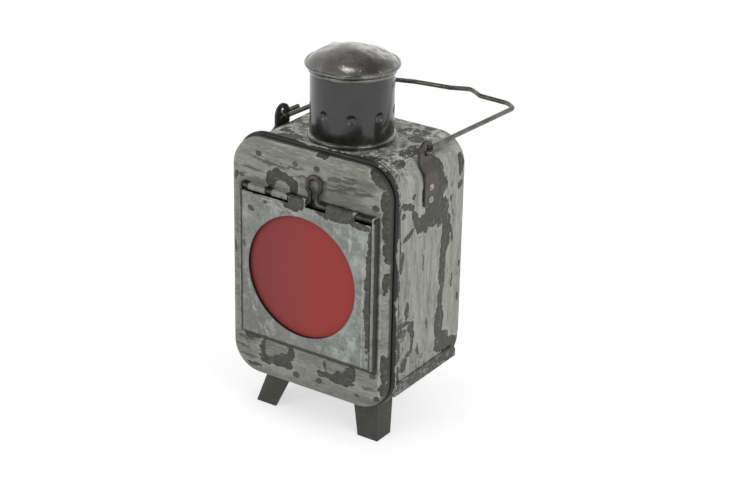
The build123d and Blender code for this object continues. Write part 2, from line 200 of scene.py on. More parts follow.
class Paint(Bench):
    """One procedural material on Object coordinates."""

    def __init__(self, name):
        self.material = bpy.data.materials.new(name)
        self.material.use_nodes = True
        super().__init__(self.material.node_tree)
        self.place = self.add("TexCoord", out=3)

    def noise(self, scale, detail=3, rough=0.55, stretch=(1, 1, 1), out=0):
        point = self.add("Mapping", {}, {"Vector": self.place, "Scale": stretch})
        sockets = {"Vector": point, "Scale": scale, "Detail": detail, "Roughness": rough}
        return self.add("TexNoise", {}, sockets, out)

    def mix(self, share, first, second):
        return self.add("Mix", {"data_type": "RGBA"}, {0: share, 6: first, 7: second}, 2)

    def vector(self, operation, first, second=(0, 0, 0), out=0):
        return self.add("VectorMath", {"operation": operation}, {0: first, 1: second}, out)

    def split(self, point):
        """The X, Y and Z of a point."""
        return [self.add("SeparateXYZ", {}, {0: point}, index) for index in range(3)]

    def axis(self, letter):
        return self.add("SeparateXYZ", {}, {0: self.place}, "XYZ".index(letter))

    def shaken(self, grain, reach, stretch=(1, 1, 1)):
        """The place, pushed about by noise of one grain size."""
        push = self.vector("SUBTRACT", self.noise(1 / grain, 4, 0.6, stretch, 1), (0.5, 0.5, 0.5))
        return self.vector("ADD", self.place, self.vector("MULTIPLY", push, (reach, reach, reach)))

    def past_box(self, middle, half):
        """How far a place lies outside a box, seen along Y: 0 inside it, round past its corners."""
        apart = self.vector("ABSOLUTE", self.vector("SUBTRACT", self.place, tuple(middle)))
        past = self.vector("MULTIPLY", self.vector("SUBTRACT", apart, tuple(half)), (1, 0, 1))
        return self.vector("LENGTH", self.vector("MAXIMUM", past, (0, 0, 0)), out=1)

    def reach(self, point, ovals, crumbs, bite):
        """Below 1 inside any of the ovals, above 1 outside, with crumbs bitten out of the edges."""
        nearest = None
        for centre, half, turn in ovals:
            sockets = {"Vector": point, "Location": centre, "Rotation": turn, "Scale": half}
            local = self.add("Mapping", {"vector_type": "TEXTURE"}, sockets)
            length = self.vector("LENGTH", local, out=1)
            nearest = length if nearest is None else nearest & length
        return nearest + (crumbs - 0.5) * bite

    def patches(self, point, ovals, crumbs, bite, soft):
        """1 inside the ovals and 0 outside."""
        return self.ramp(self.reach(point, ovals, crumbs, bite), 1 + soft, 1 - soft)

    def finish(self, colour, rough, height, depth, edge=0.0, metallic=0.0, **fixed):
        """Close the tree: a Principled shader with bump and, where asked, softened edges."""
        sockets = {"Base Color": colour, "Roughness": rough, "Metallic": metallic}
        sockets.update({name.replace("_", " "): value for name, value in fixed.items()})
        bump = {"Height": height, "Distance": depth, "Strength": 1.0}
        if edge:
            bump["Normal"] = self.add("Bevel", {"samples": 4}, {"Radius": edge})
        sockets["Normal"] = self.add("Bump", {}, bump)
        shader = self.add("BsdfPrincipled", {}, sockets)
        self.add("OutputMaterial", {}, {"Surface": shader})
        print("finish", self.material.name, len(self.tree.nodes), "nodes")
        return self.material


def front_marks(marks):
    """Ovals on a plane that faces -Y: across, up, half-width, half-height in mm, turn in degrees."""
    through = 10
    return [((x * MM, 0, z * MM), (a * MM, through, b * MM), (0, radians(-turn), 0))
            for x, z, a, b, turn in marks]


def side_marks(marks, side_x):
    """Ovals on one side: back from the lid's face, up, half-sizes in mm, turn in degrees."""
    skin = 12 * MM
    return [((side_x, lid_face + y * MM, z * MM), (skin, a * MM, b * MM), (radians(turn), 0, 0))
            for y, z, a, b, turn in marks]


def top_marks(marks):
    """Ovals on the body's top: across, back from the lid's face, half-sizes in mm, turn in degrees."""
    skin = 6 * MM
    return [((x * MM, lid_face + y * MM, shell_high.z), (a * MM, b * MM, skin), (0, 0, radians(turn)))
            for x, y, a, b, turn in marks]


print("painter's bench ready")

# %% [markdown]
# ## Studio
# The lantern stands on a pale floor in front of a white backdrop. The world is white where the
# camera, a mirror or a glass looks at it, and softer as a lamp. For mirrors it darkens overhead,
# as a studio ceiling does, which gives the domed cap its dark front. The floor adds a little glow
# for the same rays, so that it meets the backdrop without a line and still takes the shadow.

# %% World and floor
world = bpy.data.worlds.new("studio")
bpy.context.scene.world = world
world.use_nodes = True
sky = Bench(world.node_tree)
ray = sky.rays()
direction = sky.add("TexCoord", out=0)
height = sky.add("SeparateXYZ", {}, {0: direction}, 2)
overhead = sky.ramp(height, 0.45, 0.85)
ambient, ceiling_loss = 0.58, 0.8
mirrored = 1 - overhead * ceiling_loss
looked_at = (ray["camera"] | ray["transmission"]) * (1 - ambient)
strength = ambient + looked_at + ray["glossy"] * (mirrored - ambient)
background = sky.add("Background", {}, {"Color": (1, 1, 1, 1), "Strength": strength})
sky.add("OutputWorld", {}, {"Surface": background})

bpy.ops.object.select_all(action="DESELECT")
bpy.ops.mesh.primitive_plane_add(size=12)
floor = bpy.context.object
floor.name = "floor"
pale = Paint("pale_floor")
path = pale.rays()
far = pale.ramp(pale.vector("LENGTH", pale.place, out=1), 0.7, 2.4)
near_glow, far_glow = 0.6, 0.85
seen = path["camera"] | path["glossy"] | path["transmission"]
glow = seen * (far * (far_glow - near_glow) + near_glow)
matt = pale.add("BsdfDiffuse", {}, {"Color": (0.6, 0.6, 0.6, 1)})
glowing = pale.add("Emission", {}, {"Color": (1, 1, 1, 1), "Strength": glow})
pale.add("OutputMaterial", {}, {"Surface": pale.add("AddShader", {}, {0: matt, 1: glowing})})
floor.data.materials.append(pale.material)
print("world ambient", ambient, "floor", floor.name)

# %% [markdown]
# The side of the lantern is a little brighter than its front, so the large soft lamp stands to
# the right. A weaker one fills the front from the left, and a small one overhead makes the
# highlights on the cap and on the wire.

# %% Lamps
def soft_lamp(name, place, size, power):
    """A square lamp that faces the middle of the lantern."""
    bpy.ops.object.light_add(type="AREA", location=place)
    lamp = bpy.context.object
    lamp.name = name
    lamp.data.size = size
    lamp.data.energy = power
    lamp.rotation_euler = (view_target - Vector(place)).to_track_quat("-Z", "Y").to_euler()
    return lamp


lamps = [
    soft_lamp("right_lamp", (1.5, -0.55, 1.2), 0.9, 9),
    soft_lamp("front_lamp", (-0.7, -1.6, 0.9), 0.9, 6),
    soft_lamp("top_lamp", (-0.1, -0.15, 1.6), 0.3, 2),
]
print("lamps", [lamp.name for lamp in lamps])

# %% [markdown]
# ## One recipe for worn paint
# Lid, flap, body and floor strip share one recipe. Broad strokes and fine bristle marks are two
# stretched noises, and clouds of dirt lie over them. Under the paint is a dark grey coat, which
# shows in the listed patches and in flakes that noise alone decides. A second list of ovals is
# paint that stayed inside a patch, a third is thin dashes where a brush ran dry, and a fourth is
# soft darker patches. Each patch has a dark line of painted shadow at the foot of its broken edge
# and a light line of painted highlight along the top of it. The coat is a little smoother than the
# paint.

# %% Worn paint
pit_grey, bristle_grey, darkening_grey = tint(70, 70, 65), tint(84, 84, 78), tint(92, 92, 86)
coat_deep, coat_worn, painted_shadow_black = tint(40, 40, 37), tint(70, 69, 64), tint(26, 26, 24)


def worn_paint(name, coat, bare, kept=(), dashes=(), dark_patches=(), grain=(1, 1, 1), chips=0.66,
               cover=None, fold=None):
    """Paint in three tones, light to dark; cover lays soot, wear, painted shade and painted highlights
    on it, fold moves the marks.
    """
    light, middle, dark = coat
    paint = Paint(name)
    strokes = paint.noise(85, 6, 0.7, grain)
    bristles = paint.noise(460, 4, 0.7, grain)
    crumbs = paint.noise(330, 5, 0.75)
    clouds = paint.noise(26, 4, 0.6)
    fray, torn = crumbs * 0.5 + bristles * 0.5, 1.3
    ragged = paint.shaken(7 * MM, 6 * MM)
    if fold:
        ragged = fold(paint, ragged)

    reach = paint.reach(ragged, bare, fray, torn)
    gone = paint.ramp(reach, 1.05, 0.95)
    # Painted light at each broken paint edge: foot is a line of painted shadow at its foot, lip a line
    # of painted highlight along its top.
    foot = gone * paint.ramp(reach, 0.74, 0.98)
    lip = paint.ramp(reach, 1.3, 1.08) * (1 - gone)
    gone = gone * (1 - paint.ramp(bristles, 0.6, 0.65) * 0.5)
    if kept:
        stays = paint.patches(ragged, kept, fray, torn, 0.05)
        gone, foot = gone * (1 - stays), foot * (1 - stays)
    gone = gone | paint.ramp(crumbs * 0.55 + clouds * 0.55, chips, chips + 0.035)
    if dashes:
        gone = gone | paint.patches(ragged, dashes, bristles, 2.2, 0.3) * 0.75

    layer = paint.mix(paint.ramp(strokes, 0.36, 0.62), dark, middle)
    layer = paint.mix(paint.ramp(bristles, 0.5, 0.68) * 0.6, layer, light)
    layer = paint.mix(paint.ramp(bristles, 0.45, 0.3) * 0.5, layer, bristle_grey)
    layer = paint.mix(paint.ramp(clouds, 0.5, 0.72) * 0.45, layer, dark)
    pits = paint.ramp(paint.noise(620, 3, 0.6), 0.63, 0.68)
    layer = paint.mix(pits * paint.ramp(clouds, 0.38, 0.55), layer, pit_grey)
    if dark_patches:
        darkened = paint.patches(ragged, dark_patches, strokes, 1.2, 0.5)
        layer = paint.mix(darkened * 0.6, layer, darkening_grey)
    undercoat = paint.mix(paint.ramp(crumbs, 0.36, 0.64), coat_deep, coat_worn)
    # The lip's painted highlight and the foot's painted shadow are mixed in here.
    colour = paint.mix(gone, paint.mix(lip * 0.35, layer, light), undercoat)
    colour = paint.mix(foot * 0.55, colour, painted_shadow_black)
    rough = 0.6 - gone * 0.08 + (bristles - 0.5) * 0.2
    if cover:
        paint.gone = gone
        colour = cover(paint, colour)
    relief = strokes * 0.4 + bristles * 0.25 + crumbs * 0.3
    return paint.finish(colour, rough, relief, depth=0.28 * MM, edge=0.5 * MM)


side_strokes, upright_strokes = (0.26, 1, 1.8), (1.2, 1.8, 0.3)
even_strokes, strip_strokes = (0.8, 0.8, 0.8), (1.2, 0.5, 1.2)
print("worn paint ready")

# %% [markdown]
# ## Paint on the lid
# The lid was brushed from side to side with light grey paint. It has lost an arch of it above the
# hinge, two large ragged patches along the bottom with some paint left in them, and a band along
# the right-hand edge. Painted shade lies round the flap and in the groove behind the lid, and a thin
# line of painted highlight runs down the rounded right-hand edge.

# %% Lid
lid_bare = [
    (-20, 176.5, 11.5, 5.2, 0), (-28.5, 173, 3.6, 5, 0), (-10.5, 173, 3.8, 6, 0),
    (55, 193, 10, 4, -38), (61, 182, 4.2, 12, 0), (61.5, 162, 3.4, 14, 0), (61.2, 145, 2.4, 9, 0),
    (60.5, 122, 1.6, 8, 0), (-24, 50, 14, 10, 0), (-30, 43, 8, 3.6, 0), (-16, 43, 6, 3.2, 0),
    (-12, 52, 2.6, 8, 0), (27, 45.5, 12.5, 4.6, 0), (36, 51, 4.2, 8, 0), (14, 45, 5, 2.0, 0),
    (25, 52, 11, 6.5, 0), (-44, 57, 7, 2.2, 0), (-42, 35.5, 7, 1.6, 0), (41, 37.5, 2.5, 1.2, 0),
    (-57, 120, 1.0, 6, 0), (60.8, 62, 2.6, 11, 0), (60.5, 46, 3.6, 6, 0), (57.5, 38, 3, 3, 0),
    (10, 199, 5, 2.8, 0), (-56.5, 171, 1.6, 3, 0),
]
lid_kept = [
    (-19.5, 171, 5.4, 4.4, 0), (-26, 53.5, 8, 4.8, 0), (-29, 48.5, 4, 3.2, 0),
    (-18, 54, 3.6, 3.6, 0), (24, 55, 8.5, 4.0, 0), (20, 51.2, 4.2, 4.2, 0), (31, 57, 4, 2.0, 0),
]
lid_dashes = [
    (27, 186, 12, 1.6, 8), (33, 189.5, 6, 0.9, 0), (31, 182.5, 11, 1.4, 7),
    (-30, 184.5, 14, 1.2, -6), (24, 178.5, 9, 1.3, 5), (-12, 185.5, 11, 1.0, 3),
    (4, 181.5, 10, 1.2, 2), (-42, 178, 8, 1.0, -4), (44, 181, 7, 1.6, 6), (-50, 54, 7, 1.3, 0),
    (-52, 46.5, 6, 1.2, 4), (-47, 40.5, 7, 1.2, 0), (50, 45, 6, 1.3, 0),
]
# Soft darker patches: two bands along the hinge line and a few smudges.
lid_dark_patches = [
    (-30, 170.5, 19, 2.2, 0), (24, 171.5, 26, 3.2, 0), (30, 178, 13, 6, 0), (46, 187, 9, 4, 0),
    (8, 172, 8, 4, 0), (-48, 162, 5, 8, 0), (46, 36, 10, 3, 0),
]
flap_middle = (flap_low + flap_high) / 2
flap_half = (flap_high - flap_low) / 2


def shade_round_flap(paint, colour):
    """Painted shade round the flap and behind the lid, and a painted highlight on the rounded edge."""
    # The box is lowered so that the painted shade shows below the flap's foot and stays thin above the
    # knuckles.
    sunk = flap_middle - Vector((0, 0, 2.7 * MM))
    outside = paint.past_box(sunk, (flap_half.x + 0.6 * MM, 0, flap_half.z + 0.4 * MM))
    wander = paint.noise(150, 4, 0.65) - 0.5
    # near is painted shade just outside the flap, on the lid's face and the cheeks; groove is painted
    # shade on the lid's side near its back edge.
    near = paint.ramp(outside + wander * (2.4 * MM), 2.6 * MM, 1.3 * MM)
    depth = paint.axis("Y") - lid_face
    on_face = paint.ramp(depth + wander * (3 * MM), -4.9 * MM, -3.9 * MM)
    groove = paint.ramp(depth + wander * (2 * MM), 4.6 * MM, 6.4 * MM)
    # A thin broken line of painted highlight down the lid's rounded right-hand edge.
    bend_x, bend_low, bend_high = 58 * MM, 148 * MM, 158 * MM
    sheen_and_scratches = paint.ramp((paint.axis("X") - bend_x + wander * MM).math("ABSOLUTE"), 0.8 * MM, 0.3 * MM)
    sheen_and_scratches = sheen_and_scratches * paint.ramp(paint.axis("Z"), bend_high, bend_low) * paint.ramp(wander, -0.1, 0.06)
    colour = paint.mix(sheen_and_scratches * 0.65, colour, tint(204, 204, 198))
    return paint.mix((near * on_face | groove) * 0.9, colour, tint(30, 29, 27))


lid_coat = (tint(182, 182, 175), tint(154, 154, 147), tint(122, 122, 115))
lid_paint = worn_paint("lid_paint", lid_coat, front_marks(lid_bare), front_marks(lid_kept),
                       front_marks(lid_dashes), front_marks(lid_dark_patches),
                       grain=side_strokes, chips=0.665, cover=shade_round_flap)

# %% [markdown]
# ## Paint on the body
# The sides were brushed up and down. The right side has a broad dark band towards the back, rings
# of bare coat round its rivets and a bare area under the strap. The top is mottled: its light
# blotches are partly painted sheen and its white specks are painted glints, and it is darker round
# the foot of the chimney. The left side isn't seen in the photograph, and takes the marks of the
# right one, turned back to front. The shell is a sheet with two rounded corners, so the distance to
# the axes of those corners tells its outer skin from its smoked inside.

# %% Body
side_bare = [
    (57, 153, 13, 9.5, 0), (67, 151, 9, 10, 0), (48, 150, 5, 8, 0), (57, 170, 15, 12, 0),
    (26, 167.6, 9, 2.6, -24), (35.5, 156, 4.0, 7.5, 24), (43, 150, 7, 6, 0),
    (27.5, 146.6, 7, 2.0, 26), (20.8, 130.6, 2.2, 8.5, -7), (28, 93, 2.8, 5.8, 0),
    (24, 85.3, 7.5, 2.2, -3), (33, 80, 4.0, 3.8, 20), (35, 70.5, 2.4, 8, 0),
    (31.5, 61.5, 4, 2.4, 25), (25.8, 55, 3.4, 5.5, -12), (16.5, 68.5, 4.2, 10, 0),
    (73, 135, 5.6, 16, 0), (70, 110, 4.0, 20, 0), (68.5, 88, 3.0, 10, 0), (68, 70, 5.6, 14, 0),
    # The tall strip at 15.2 mm behind the lid's face is partly chipped coat and partly painted shade
    # behind the rim.
    (72, 54, 9, 8, 0), (83, 47, 10, 5.5, 0), (52, 76, 1.0, 3.6, 0), (15.2, 112, 3.4, 78, 0),
    (17.5, 142, 1.8, 15, 4), (17, 104, 1.4, 17, -3), (16.8, 79, 2.4, 8, 0), (18, 48, 2.4, 9, 0),
    (46, 122, 0.9, 6, 0), (80, 130, 1.2, 7, 5), (82, 96, 1.0, 6, -5), (42, 60, 1.0, 5, 0),
    (88.5, 163, 3.2, 3, 0), (90.5, 105, 1.2, 3, 0), (90.5, 80, 1.5, 3.5, 0),
    (33, 172, 2.6, 1.8, 0), (60, 184, 8.5, 8, 0), (63, 167, 8, 8, 0), (89.5, 177, 3.2, 8, 0),
    (67.5, 182, 1.6, 1.8, 0), (72, 168.5, 1.0, 2.4, 0), (79, 166.5, 1.0, 2.4, 0),
    (78, 157, 1.2, 2.4, 0), (81, 146, 1.0, 2.2, 0),
]
top_bare = [
    (30, 78, 12, 7, 20), (46, 50, 5, 12, 0), (38, 68, 6, 5, -15), (50, 30, 4, 7, 0), (34, 24, 7, 3, 0),
]
# Darker round the foot of the chimney.
chimney_foot_ring = [(0, 50.2, 36, 36, 0)]
body_kept = side_marks([(26.5, 156, 3.6, 6.5, 20), (26, 71, 5.6, 8, 0)], shell_high.x)
body_bare = side_marks(side_bare, shell_high.x) + top_marks(top_bare)


def both_sides(paint, point):
    """Lay the left half over the right one, turned back to front, so that one list serves both."""
    x, y, z = paint.split(point)
    left = x.math("LESS_THAN", 0.0)
    turned = y + left * (2 * chimney_axis.y - y * 2)
    return paint.add("CombineXYZ", {}, {0: x.math("ABSOLUTE"), 1: turned, 2: z})


def soot(paint):
    """Clouds of soot in two dark browns."""
    return paint.mix(paint.ramp(paint.noise(40), 0.35, 0.7), tint(34, 31, 28), tint(70, 66, 60))


def smoke_inside(paint, colour):
    """Blotches, partly painted sheen, and painted glints on the top, and soot on everything deeper than
    the shell's outer skin.
    """
    skin = 0.5 * MM
    out = paint.past_box((0, 0, 0), (shell_high.x - shell_corner, 0, shell_high.z - shell_corner))
    inside = paint.ramp(out, shell_corner - skin * 0.8, shell_corner - skin * 1.2)
    on_top = paint.ramp(paint.axis("Z"), shell_high.z - 5 * MM, shell_high.z - 1 * MM)
    blotches = paint.noise(130, 7, 0.75)
    painted_glints = paint.ramp(paint.noise(340, 3, 0.6), 0.6, 0.65)
    # Top of the body: dark blotches of mottled paint, light blotches of paint and painted sheen, white
    # specks of painted glint.
    colour = paint.mix(on_top * paint.ramp(blotches, 0.52, 0.57) * 0.85, colour, tint(58, 58, 54))
    colour = paint.mix(on_top * paint.ramp(blotches, 0.45, 0.4) * 0.75, colour, tint(208, 208, 203))
    colour = paint.mix(on_top * painted_glints * 0.6, colour, tint(232, 232, 228))
    return paint.mix(inside, colour, soot(paint))


body_coat = (tint(200, 201, 194), tint(175, 176, 169), tint(138, 138, 131))
body_paint = worn_paint("body_paint", body_coat, body_bare, body_kept, dark_patches=top_marks(chimney_foot_ring),
                        grain=upright_strokes, chips=0.625, cover=smoke_inside, fold=both_sides)
back_bare = front_marks([
    (-24, 158, 9, 4, 15), (-16, 151, 5, 9, -12), (-30, 148, 3, 7, 8), (-9, 162, 6, 2.4, 0),
    (44, 172, 4, 10, 12), (49, 160, 3, 9, 0), (38, 166, 4, 3, 0), (30, 112, 2.6, 14, 6),
    (34, 96, 4.2, 8, -8), (27, 88, 2.4, 12, 0), (38, 82, 3, 5, 20), (-46, 88, 3, 12, -6),
    (-41, 76, 5.4, 6, 0), (-50, 66, 3.4, 9, 0), (-36, 66, 3, 5, 25), (-56, 128, 1.6, 16, 0),
    (56, 124, 1.4, 12, 0), (4, 56, 10, 3, 6), (-10, 51, 8, 3.4, -5), (18, 49, 9, 4, 4),
    (30, 54, 4, 6, 0), (-6, 122, 1.2, 7, 4), (12, 132, 1.0, 6, -6), (-28, 112, 1.2, 8, 0),
])


def smoke_behind(paint, colour):
    """Soot on the back panel's inner face."""
    inner = paint.ramp(paint.axis("Y"), shell_high.y - 0.4 * MM, shell_high.y - 0.7 * MM)
    below_top = paint.ramp(paint.axis("Z"), shell_high.z - 15 * MM, shell_high.z - 16 * MM)
    return paint.mix(inner * below_top, colour, soot(paint))


back_paint = worn_paint("back_paint", body_coat, back_bare, grain=upright_strokes, chips=0.615,
                        cover=smoke_behind)
strip_coat = (tint(190, 189, 181), tint(150, 149, 142), tint(106, 105, 99))
strip_bare = side_marks([(80, 42, 12, 5, 0)], shell_high.x)
strip_paint = worn_paint("strip_paint", strip_coat, strip_bare, grain=strip_strokes, chips=0.555)

# %% [markdown]
# ## Paint on the flap
# The flap is a paler, bluish zinc grey, rubbed in all directions. Its paint is gone under the
# knuckles and along the right-hand fold. It is painted darker towards the lower left as shade, and
# its creases carry thin lines of painted highlight. The wall of its hole is painted nearly black as
# shade, and is found by its distance from the lens axis. A dark line of painted shade follows its
# outer edges.

# %% Flap
flap_bare = [
    (-6.5, 165, 8.5, 6.2, 0), (27, 165, 16, 5.6, 0), (34, 167, 10, 5.4, 0), (46, 161, 7, 2.4, 0),
    (-38, 164.5, 4.5, 1.6, 0), (-40, 153, 3.2, 2.0, -20), (-45.3, 126.5, 1.3, 3, 0),
    (52.2, 112, 2.6, 40, 0), (53, 152, 1.8, 8, 0), (-28.5, 159.5, 1.5, 1, 0),
]
flap_kept = [(40.5, 169, 2.2, 1.2, 0)]
flap_scuffs = [
    (-41, 94, 0.8, 9, 12), (-27, 65.5, 0.8, 7, 32), (27, 68, 7, 3.5, 20), (40, 78, 3.5, 6, 0),
    (-36, 77, 1.0, 9, 25), (-33, 70, 0.9, 7, 20), (-20, 158, 9, 0.9, -8), (38, 150, 1.2, 9, 0),
]


def shade_hole(paint, colour):
    """Rubs and scuffs; painted shade to the lower left, painted highlight on the folds, black painted
    shade on the edges and in the hole.
    """
    crumbs = paint.noise(300, 4, 0.7)
    scuffed = paint.patches(paint.shaken(5 * MM, 5 * MM), front_marks(flap_scuffs), crumbs, 1.6, 0.4)
    # Thin lines of painted highlight along the fold creases.
    fold_x, fold_z, line_edge, line_core = 48.2 * MM, 161.6 * MM, 0.7 * MM, 0.2 * MM
    fold_highlight = paint.ramp((paint.axis("X") - fold_x).math("ABSOLUTE"), line_edge, line_core)
    upper = paint.ramp((paint.axis("Z") - fold_z).math("ABSOLUTE"), line_edge, line_core)
    fold_highlight = fold_highlight | upper * paint.ramp(paint.axis("X"), -13 * MM, -15 * MM)
    # Painted shade: darker towards the lower left.
    lower_left_shade = paint.ramp(paint.axis("X") + paint.axis("Z"), 150 * MM, 40 * MM)
    rubs = paint.noise(75, 6, 0.7)
    whole = 1 - paint.gone * 0.85
    colour = paint.mix(lower_left_shade * 0.5, colour, tint(100, 101, 97))
    colour = paint.mix(paint.ramp(rubs, 0.5, 0.66) * whole * 0.6, colour, tint(190, 193, 189))
    colour = paint.mix(paint.ramp(rubs, 0.44, 0.32) * 0.45, colour, tint(88, 89, 85))
    scuffs_and_highlight = (scuffed | fold_highlight) * whole * paint.ramp(paint.noise(160, 4, 0.7), 0.4, 0.6)
    colour = paint.mix(scuffs_and_highlight * 0.7, colour, tint(198, 200, 196))
    # Painted shade: black on the hole's wall and a dark border along the flap's edges.
    from_lens_axis = paint.past_box(lens_centre, (0, 0, 0))
    near = paint.ramp(from_lens_axis, 43.8 * MM, 43.6 * MM)
    deep = paint.ramp(paint.axis("Y"), flap_low.y + 0.1 * MM, flap_low.y + 0.5 * MM)
    side = (paint.axis("X") - flap_middle.x).math("ABSOLUTE") - flap_half.x
    foot = flap_low.z + 1.1 * MM - paint.axis("Z")
    border = paint.ramp((side + 0.9 * MM) | foot, -0.3 * MM, 0.3 * MM)
    return paint.mix(near * deep | border * 0.75, colour, tint(18, 17, 16))


flap_coat = (tint(186, 190, 186), tint(156, 159, 155), tint(128, 130, 126))
flap_paint = worn_paint("flap_paint", flap_coat, front_marks(flap_bare), front_marks(flap_kept),
                        grain=even_strokes, chips=0.675, cover=shade_hole)

# %% [markdown]
# ## Dark paint, enamel and wire
# The straps and the legs wear a plain dark paint. The rim is painted black as shade in the groove
# behind the lid and on its inside, and its outer half keeps ragged flakes of paint with white specks
# of painted highlight on its crest. The chimney is a glossy black enamel, whose colour is mostly what
# it mirrors. Painted shade rings its dimples, and dark runs go down below them: the angle round the
# axis, counted in steps of one dimple, gives the distance to the nearest one.
# The bail and the hinge pin are old wire with a brown bloom.

# %% Dark paint
def dark_paint_finish(name, deep, worn, rough):
    """Plain paint that clouds from deep to worn, with light and dark grit."""
    paint = Paint(name)
    cloud = paint.noise(45, 4)
    grit = paint.noise(380, 4, 0.7)
    colour = paint.mix(paint.ramp(cloud, 0.35, 0.7), deep, worn)
    colour = paint.mix(paint.ramp(grit, 0.58, 0.7) * 0.45, colour, tint(112, 111, 104))
    colour = paint.mix(paint.ramp(grit, 0.44, 0.32) * 0.5, colour, tint(40, 40, 37))
    relief = cloud * 0.6 + grit * 0.35
    return paint.finish(colour, rough + (grit - 0.5) * 0.25, relief, depth=0.22 * MM, edge=0.5 * MM)


dark_paint = dark_paint_finish("dark_paint", tint(36, 37, 34), tint(60, 61, 56), 0.46)
weld_paint = dark_paint_finish("weld_paint", tint(62, 62, 58), tint(90, 90, 84), 0.5)
strap_paint = dark_paint_finish("strap_paint", tint(36, 34, 31), tint(68, 64, 58), 0.44)

# %% Rim
rim = Paint("rim_paint")
rim_cloud = rim.noise(60, 5, 0.65)
rim_grit = rim.noise(380, 4, 0.7)
rim_flake = rim.noise(95, 5, 0.7)
frayed = rim.axis("Y") + (rim_cloud - 0.5) * (6 * MM) + (rim_flake - 0.5) * (4 * MM)
rim_low, rim_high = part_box("front_frame")
rim_corner = 23.6 * MM
rim_inner = (rim_high - rim_low) / 2 - Vector((rim_corner, 0, rim_corner))
rim_out = rim.past_box((rim_low + rim_high) / 2, rim_inner)
on_bead = rim.ramp(rim_out, rim_corner - 4 * MM, rim_corner - 3 * MM)
# The inner half of the rim and its inside are painted black, as shade in the groove behind the lid.
outer = on_bead * rim.ramp(frayed, lid_face + 11.0 * MM, lid_face + 11.5 * MM)
rim_coat = rim.mix(rim.ramp(rim_flake, 0.5, 0.54), tint(52, 52, 48), tint(150, 150, 143))
rim_colour = rim.mix(outer, tint(13, 13, 12), rim_coat)
# White specks of painted highlight on the crest of the outer half.
rim_colour = rim.mix(outer * rim.ramp(rim_grit, 0.62, 0.66) * 0.8, rim_colour, tint(208, 208, 202))
rim_rough = 0.5 + (rim_grit - 0.5) * 0.25
rim_relief = rim_cloud * 0.6 + rim_grit * 0.35
rim_paint = rim.finish(rim_colour, rim_rough, rim_relief, depth=0.22 * MM, edge=0.5 * MM)

# %% Enamel
enamel = Paint("black_enamel")
mottle = enamel.noise(38, 5, 0.6)
haze = enamel.noise(240, 4, 0.65)
from_axis = enamel.vector("SUBTRACT", enamel.place, (chimney_axis.x, chimney_axis.y, dimple_z))
across, along, above = enamel.split(from_axis)
steps = along.math("ARCTAN2", across) * (1 / dimple_step) + dimple_start / dimple_step
arc = (steps - steps.math("ROUND")) * (dimple_step * tube_radius)
off_dimple = (arc * arc + above * above).math("SQRT")
# Painted shade in a ring round each dimple's wall; the runs below are dark streaks.
dimple_shade = enamel.ramp(off_dimple, 4.2 * MM, 3.4 * MM) * enamel.ramp(off_dimple, 2.0 * MM, 3.0 * MM)
beside = arc.math("ABSOLUTE") + (mottle - 0.5) * (26 * MM)
run = enamel.ramp(beside, 6 * MM, 3 * MM) * enamel.ramp(above, 0.0, -5 * MM)
enamel_colour = enamel.mix(enamel.ramp(mottle, 0.35, 0.68), tint(22, 22, 20), tint(44, 43, 41))
enamel_colour = enamel.mix(dimple_shade | run * 0.7, enamel_colour, tint(14, 14, 13))
enamel_rough = 0.15 + (haze - 0.5) * 0.16 + mottle * 0.06 + (dimple_shade | run) * 0.12
enamel_relief = mottle * 0.7 + haze * 0.12
chimney_enamel = enamel.finish(enamel_colour, enamel_rough, enamel_relief, depth=0.5 * MM,
                               edge=0.4 * MM, Coat_Weight=0.3, Coat_Roughness=0.06)

# %% Beads and cap
bead = Paint("bead_enamel")
bead_rub = bead.noise(70, 5, 0.65)
bead_colour = bead.mix(bead.ramp(bead_rub, 0.4, 0.66), tint(44, 44, 41), tint(112, 111, 106))
bead_rough = 0.2 + (bead_rub - 0.5) * 0.2
bead_enamel = bead.finish(bead_colour, bead_rough, bead_rub, depth=0.2 * MM,
                          Coat_Weight=1.0, Coat_Roughness=0.08)

cap_skin = Paint("cap_enamel")
cap_mottle = cap_skin.noise(55, 5, 0.65)
cap_haze = cap_skin.noise(320, 4, 0.7)
cap_streak = cap_skin.noise(130, 5, 0.7, (0.35, 1.4, 1))
# White streaks on the back half are scratches and painted sheen; the fine white specks are scratches.
frayed_back = cap_skin.axis("Y") + (cap_mottle - 0.5) * (50 * MM)
behind = cap_skin.ramp(frayed_back, chimney_axis.y - 4 * MM, chimney_axis.y + 14 * MM)
sheen_and_scratches = cap_skin.ramp(cap_streak, 0.45, 0.53) * behind | cap_skin.ramp(cap_haze, 0.66, 0.7) * 0.7
cap_colour = cap_skin.mix(cap_skin.ramp(cap_mottle, 0.35, 0.68), tint(84, 80, 77), tint(128, 125, 121))
cap_colour = cap_skin.mix(sheen_and_scratches, cap_colour, tint(224, 224, 220))
cap_rough = 0.22 + (cap_haze - 0.5) * 0.2 + sheen_and_scratches * 0.15
cap_relief = cap_mottle + cap_haze * 0.15
cap_enamel = cap_skin.finish(cap_colour, cap_rough, cap_relief, depth=0.6 * MM, metallic=0.6,
                             Coat_Weight=0.45, Coat_Roughness=0.2)

# %% Wire and rivets
def old_metal(name, deep, bloom, rough, metallic=0.6):
    """Metal with a cloudy bloom and a fine scale."""
    metal = Paint(name)
    cloud = metal.noise(120, 4)
    scale = metal.noise(700, 4, 0.65)
    colour = metal.mix(metal.ramp(cloud, 0.4, 0.68), deep, bloom)
    rough, relief = rough + (scale - 0.5) * 0.25, cloud * 0.5 + scale * 0.4
    return metal.finish(colour, rough, relief, depth=0.12 * MM, metallic=metallic)


